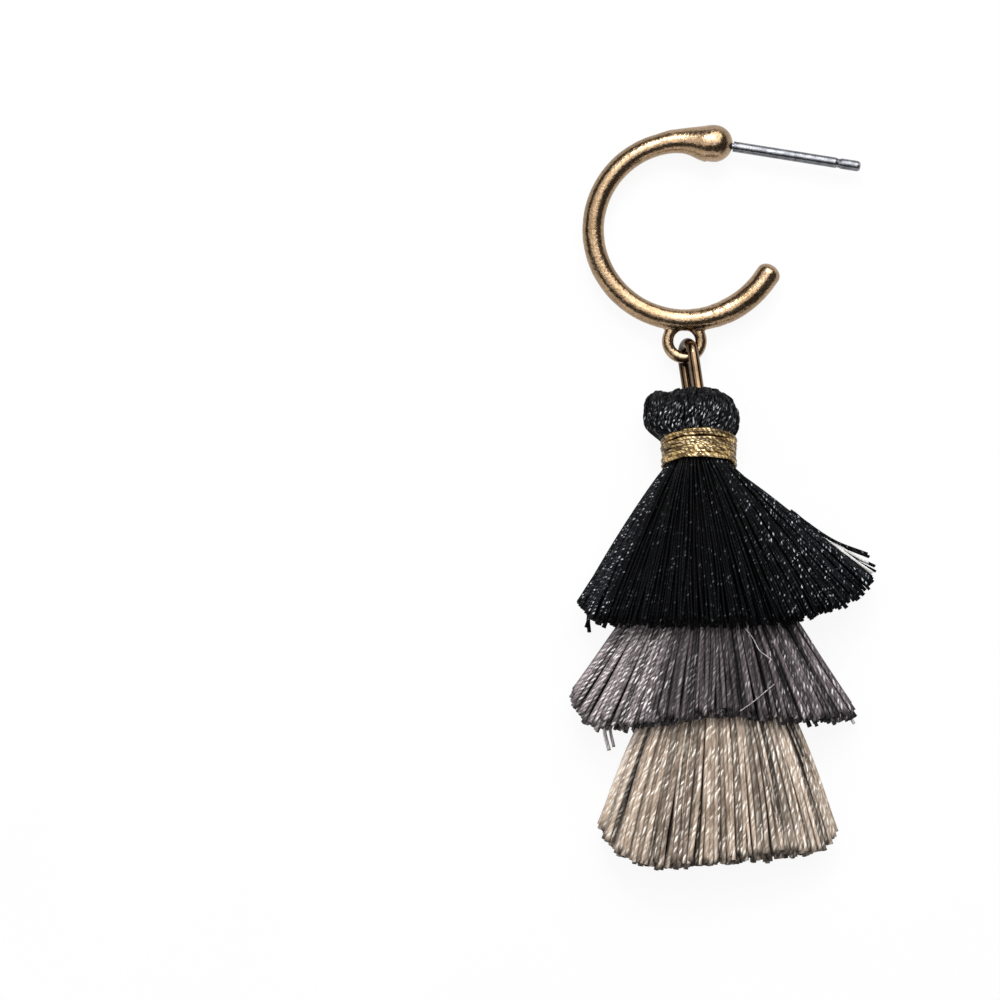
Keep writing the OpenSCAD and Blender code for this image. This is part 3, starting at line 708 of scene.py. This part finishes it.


def thread_material(
        name, colours, rough, level, rarity, ply, pitch, depth, speckle, plies=2, inside=0.3,
        contrast=0.5, patchy=2.2, glint_up=(0.7, 0.93), metallic=0.0):
    """Twisted thread: plies that wind round it, fine fibres along them, a shade of its own
    for each thread, and painted glints, highlights painted into the colour, on some plies
    where painted_shine is high. The colours are the groove's painted shade, the body's, the
    ridge's and the painted glint's. Level is how much the thread mirrors, rarity how seldom a
    ply gets a painted glint, ply how far painted shade darkens its grooves, pitch how long a
    turn of the twist is, and depth the grooves' bump depth. Speckle, patchy and contrast are
    how much the plies of a thread, its stretches and whole threads differ. Inside is how
    light a thread deep in the bundle stays under its painted shade, and glint_up how far up
    a spot faces where its painted glint begins and where it is full."""
    groove, body, ridge, glint = ((*colour, 1) for colour in colours)
    m = Nodes(name)
    uv = m.tree.nodes.new("ShaderNodeUVMap")
    uv.uv_map = "twist"
    place = m.add("ShaderNodeSeparateXYZ", i0=uv.outputs[0])
    tone = m.tree.nodes.new("ShaderNodeAttribute")
    tone.attribute_name = "tone"
    parts = m.add("ShaderNodeSeparateColor", i0=tone.outputs[0])
    shade, along, shade_depth = parts.outputs
    painted_shine = tone.outputs["Alpha"]
    seed = m.math("MULTIPLY", shade, 97.0)
    drift_at = m.add("ShaderNodeCombineXYZ", i0=place.outputs[1], i1=seed)
    drift = m.add("ShaderNodeTexNoise", i0=drift_at.outputs[0], Scale=0.7, Detail=3.0).outputs[0]

    # The plies, and the fibres that run along them
    around = m.math("MULTIPLY", place.outputs[0], plies)
    phase = m.math("ADD", around, m.math("DIVIDE", place.outputs[1], pitch))
    phase = m.math("ADD", phase, m.math("MULTIPLY", drift, 3.0))
    height = m.math("SINE", m.math("MULTIPLY", m.math("FRACT", phase), math.pi))
    which = m.add("ShaderNodeCombineXYZ", i0=m.math("FLOOR", phase), i1=seed)
    chance = m.add("ShaderNodeTexWhiteNoise", i0=which.outputs[0]).outputs[0]
    fibre_at = m.add(
        "ShaderNodeCombineXYZ", i0=m.math("MULTIPLY", phase, 5.0),
        i1=m.math("MULTIPLY", place.outputs[1], 0.6), i2=seed)
    fibre = m.add("ShaderNodeTexNoise", i0=fibre_at.outputs[0], Scale=1.6, Detail=3.0).outputs[0]

    # The thread's own colour: random stretches and plies, painted light that makes it lighter where
    # painted_shine is high, and painted shade in the grooves between the plies
    painted_lift = m.math("MULTIPLY_ADD", painted_shine, 1.2, -0.4)
    light = m.math("MULTIPLY_ADD", m.math("SUBTRACT", drift, 0.5), patchy, painted_lift)
    light = m.math("ADD", light, m.math("MULTIPLY_ADD", chance, speckle, -0.5 * speckle))
    own = m.mix(m.ramp(light, (0.0, 0.0), (1.0, 1.0)), body, ridge)
    colour = m.mix(m.math("MULTIPLY_ADD", height, ply, 1 - ply), groove, own)
    strength = m.math("MULTIPLY_ADD", shade, 2 * contrast, 1 - contrast)
    colour = m.mix(1.0, colour, m.ramp(strength, (0.0, 0.0), (1.0, 1.0)), "MULTIPLY")

    # Painted glints: highlights painted into the colour on the ridges of some plies, where they face
    # up
    normal = m.tree.nodes.new("ShaderNodeNewGeometry").outputs["Normal"]
    up = m.add("ShaderNodeSeparateXYZ", i0=normal).outputs[2]
    on_ridge = m.ramp(height, (0.75, 0.0), (0.97, 1.0))
    spot = m.math("MULTIPLY", on_ridge, m.ramp(up, (glint_up[0], 0.0), (glint_up[1], 1.0)))
    rare = m.math("MULTIPLY", m.math("SUBTRACT", 1.25, painted_shine), rarity)
    lit = m.math("POWER", chance, m.math("MAXIMUM", rare, 1.0))
    lit = m.math("MINIMUM", m.math("MULTIPLY", lit, 1.6), 1.0)
    lit = m.math("MULTIPLY", lit, m.math("MINIMUM", m.math("MULTIPLY", painted_shine, 2.0), 1.0))
    colour = m.mix(m.math("MULTIPLY", spot, lit), colour, glint)
    # Painted highlight: threads whose painted_shine is over 1 are painted pale all along
    pale = m.math("MINIMUM", m.math("MAXIMUM", m.math("SUBTRACT", painted_shine, 1.0), 0.0), 1.0)
    colour = m.mix(pale, colour, STRAY_HIGHLIGHT_COLOUR)
    colour = m.mix(1.0, colour, m.ramp(fibre, (0.3, 0.62), (0.7, 1.2)), "MULTIPLY")

    # Painted shade: darker inside the bundle but less so at the hem, and painted light and shade on
    # the cut ends, some ends lighter and some darker
    hem = m.math("MULTIPLY_ADD", m.math("POWER", along, 9.0), -0.7, 1.0)
    hidden = m.math("MULTIPLY", shade_depth, hem)
    bundle_shade = m.ramp(hidden, (0.0, 1.0), (0.5, inside), (1.0, inside * 0.4))
    colour = m.mix(1.0, colour, bundle_shade, "MULTIPLY")
    end = m.ramp(along, (0.97, 0.0), (0.995, 1.0))
    cut = m.ramp(m.math("FRACT", seed), (0.45, 0.25), (0.75, 1.3))
    colour = m.mix(end, colour, m.mix(1.0, colour, cut, "MULTIPLY"))

    roughness = m.math("MULTIPLY_ADD", chance, -0.25, rough + 0.2)
    relief = m.math("ADD", height, m.math("MULTIPLY", fibre, 0.35))
    bump = m.add("ShaderNodeBump", Strength=1.0, Distance=depth * MM, Height=relief)
    m.fill(m.shader, Base_Color=colour, Roughness=roughness, Normal=bump.outputs[0])
    m.shader.inputs["Specular IOR Level"].default_value = level
    m.shader.inputs["Metallic"].default_value = metallic
    return m.material


def metal_material(
        name, dark, light, roughness, grain_size, grain_depth, speckle=0.0, patch_size=2.5):
    """Metal with a fine grain, light and dark specks, and patches of a darker and a lighter
    tone. Lengths are millimetres."""
    m = Nodes(name)
    place = m.tree.nodes.new("ShaderNodeTexCoord").outputs["Object"]
    patches = m.add("ShaderNodeTexNoise", Vector=place, Scale=1 / (patch_size * MM), Detail=5.0)
    grain = m.add("ShaderNodeTexNoise", Vector=place, Scale=1 / (grain_size * MM), Detail=2.0)
    specks = m.add("ShaderNodeTexNoise", Vector=place, Scale=1.6 / (grain_size * MM), Detail=3.0)
    colour = m.ramp(patches.outputs[0], (0.35, dark), (0.65, light))
    dots = m.ramp(specks.outputs[0], (0.38, 1 - speckle), (0.62, 1.0))
    colour = m.mix(1.0, colour, dots, "MULTIPLY")
    rough = m.math("MULTIPLY_ADD", grain.outputs[0], 0.3, roughness - 0.15)
    bump = m.add(
        "ShaderNodeBump", Strength=1.0, Distance=grain_depth * MM, Height=grain.outputs[0])
    m.fill(m.shader, Base_Color=colour, Roughness=rough, Normal=bump.outputs[0])
    m.shader.inputs["Metallic"].default_value = 1.0
    return m.material


# Each thread's colours: the grooves' painted shade, the body, the ridge, and the painted glint
black = thread_material(
    "black_thread",
    [(0.0004, 0.0005, 0.0008), (0.0008, 0.001, 0.0016), (0.011, 0.012, 0.015), (0.7, 0.73, 0.77)],
    rough=0.4, level=0.07, rarity=17, ply=0.3, pitch=0.34, depth=0.012, speckle=1.0,
    glint_up=(0.8, 0.97))
# The head's copy of the black thread: lighter ridges and glints as painted light, darker grooves as
# painted shade
black_folds_painted_light = thread_material(
    "black_folds_painted_light",
    [(0.0004, 0.0005, 0.0008), (0.0007, 0.0007, 0.001), (0.032, 0.033, 0.037), (0.65, 0.67, 0.7)],
    rough=0.4, level=0.055, rarity=14, ply=1.0, pitch=0.5, depth=0.02, speckle=1.4,
    contrast=0.7, glint_up=(0.75, 0.96))
grey = thread_material(
    "grey_thread",
    [(0.008, 0.006, 0.008), (0.12, 0.1, 0.11), (0.56, 0.48, 0.49), (1, 0.95, 0.95)],
    rough=0.4, level=0.2, rarity=6, ply=0.52, pitch=0.6, depth=0.015, speckle=0.7, plies=3,
    inside=0.03, contrast=0.8, patchy=1.6, glint_up=(0.6, 0.9))
beige = thread_material(
    "beige_thread",
    [(0.055, 0.037, 0.024), (0.205, 0.146, 0.104), (0.8, 0.645, 0.515), (1, 0.97, 0.9)],
    rough=0.4, level=0.2, rarity=4.5, ply=0.3, pitch=0.8, depth=0.012, speckle=0.5, plies=3,
    inside=0.07, contrast=0.75, patchy=1.3, glint_up=(0.65, 0.92))
winding = thread_material(
    "wrap_gold",
    [(0.025, 0.012, 0.002), (0.1, 0.05, 0.01), (0.9, 0.62, 0.25), (1, 0.95, 0.75)],
    rough=0.3, level=0.5, rarity=5, ply=0.8, pitch=0.42, depth=0.03, speckle=2.0, metallic=0.5)
gold = metal_material(
    "antique_gold", dark=(0.33, 0.22, 0.125), light=(0.48, 0.335, 0.21), roughness=0.24,
    grain_size=0.22, grain_depth=0.022, speckle=0.4)
bail_gold = metal_material(
    "bail_gold", dark=(0.055, 0.034, 0.02), light=(0.18, 0.12, 0.07), roughness=0.15,
    grain_size=0.3, grain_depth=0.006)
steel = metal_material(
    "post_steel", dark=(0.13, 0.134, 0.146), light=(0.24, 0.248, 0.264), roughness=0.26,
    grain_size=0.12, grain_depth=0.01, speckle=0.1, patch_size=0.6)


def paint(piece, material):
    """Gives a piece its one material."""
    piece.data.materials.clear()
    piece.data.materials.append(material)


def dress(piece, material, node):
    """A finished piece of the scene, in the place of a CAD node."""
    paint(piece, material)
    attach(piece, "root")
    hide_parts(node)


dress(upper_fringe, black, "upper_tassel")
dress(head, black_folds_painted_light, "upper_tassel")
dress(middle_fringe, grey, "middle_tassel")
dress(lower_fringe, beige, "lower_tassel")
dress(wrap, winding, "neck_wrap")
dress(hoop_cast, gold, "hoop")
paint(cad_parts["bail"], bail_gold)
paint(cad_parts["ear_post"], steel)


def area_light(name, azimuth, elevation, distance, width, height, energy):
    """A softbox that faces the tassel. Azimuth 0 is +X and 90 the top of the view."""
    a, e = math.radians(azimuth), math.radians(elevation)
    to = np.array([math.cos(a) * math.cos(e), math.sin(a) * math.cos(e), math.sin(e)])
    light = bpy.data.lights.new(name, "AREA")
    light.shape = "RECTANGLE"
    light.size = width
    light.size_y = height
    light.energy = energy
    lamp = bpy.data.objects.new(name, light)
    lamp.location = to * distance
    lamp.rotation_mode = "QUATERNION"
    lamp.rotation_quaternion = Vector(-to).to_track_quat("-Z", "Y")
    bpy.context.scene.collection.objects.link(lamp)


# The studio, in metres. Each light: azimuth, elevation, distance, width, height and watts
LIGHTS = [
    ("key", 100, 50, 0.4, 0.07, 0.07, 0.5),
    ("window", 72, 46, 0.6, 0.5, 0.65, 4.4),
    ("ceiling", 140, 60, 0.6, 0.65, 0.5, 1.5),
    ("overhead", 75, 86, 0.55, 0.25, 0.2, 0.3),
    ("front", 255, 16, 0.6, 1.4, 0.42, 2.2),
]
WORLD_GLOW = 0.06
FLOOR_GLOW = 0.92
FLOOR_HALF = 0.6
FLOOR_DROP = 0.00002    # how far the floor stays under the earring
for row in LIGHTS:
    area_light(*row)

floor_corners = [(x * FLOOR_HALF, y * FLOOR_HALF, 0) for x, y in ((-1, -1), (1, -1), (1, 1), (-1, 1))]
floor_mesh = bpy.data.meshes.new("floor")
floor_mesh.from_pydata(floor_corners, [], [(0, 1, 2, 3)])
floor = bpy.data.objects.new("floor", floor_mesh)
floor.location = (0, 0, -FLOOR_DROP)
bpy.context.scene.collection.objects.link(floor)
pale = Nodes("pale_floor")
place = pale.tree.nodes.new("ShaderNodeTexCoord")
cloud = pale.add("ShaderNodeTexNoise", Vector=place.outputs["Object"], Scale=40.0, Detail=3.0)
tint = pale.ramp(cloud.outputs[0], (0.3, 0.055), (0.7, 0.06))
pale.fill(pale.shader, Base_Color=tint, Roughness=0.9)
pale.shader.inputs["Specular IOR Level"].default_value = 0.0
pale.shader.inputs["Emission Color"].default_value = (1, 1, 1, 1)
pale.shader.inputs["Emission Strength"].default_value = FLOOR_GLOW
floor_mesh.materials.append(pale.material)

world = bpy.data.worlds.new("studio")
bpy.context.scene.world = world
world.use_nodes = True
world.node_tree.nodes["Background"].inputs[0].default_value = (1, 1, 1, 1)
world.node_tree.nodes["Background"].inputs[1].default_value = WORLD_GLOW
bpy.context.scene.view_settings.view_transform = "Standard"

# The camera looks straight down on the middle of the photograph, which is VIEW_W wide at
# the height FOCUS_Z
VIEW_W = 85.0
VIEW_AT = (-18.8325, -0.5235)
CAMERA_H = 400.0
FOCUS_Z = 2.0
SENSOR_W = 36
camera_data = bpy.data.cameras.new("camera")
camera_data.sensor_width = SENSOR_W
camera_data.lens = SENSOR_W * (CAMERA_H - FOCUS_Z) / VIEW_W
camera_data.clip_start = 0.01
camera = bpy.data.objects.new("camera", camera_data)
camera.location = (VIEW_AT[0] * MM, VIEW_AT[1] * MM, CAMERA_H * MM)
bpy.context.scene.collection.objects.link(camera)
bpy.context.scene.camera = camera
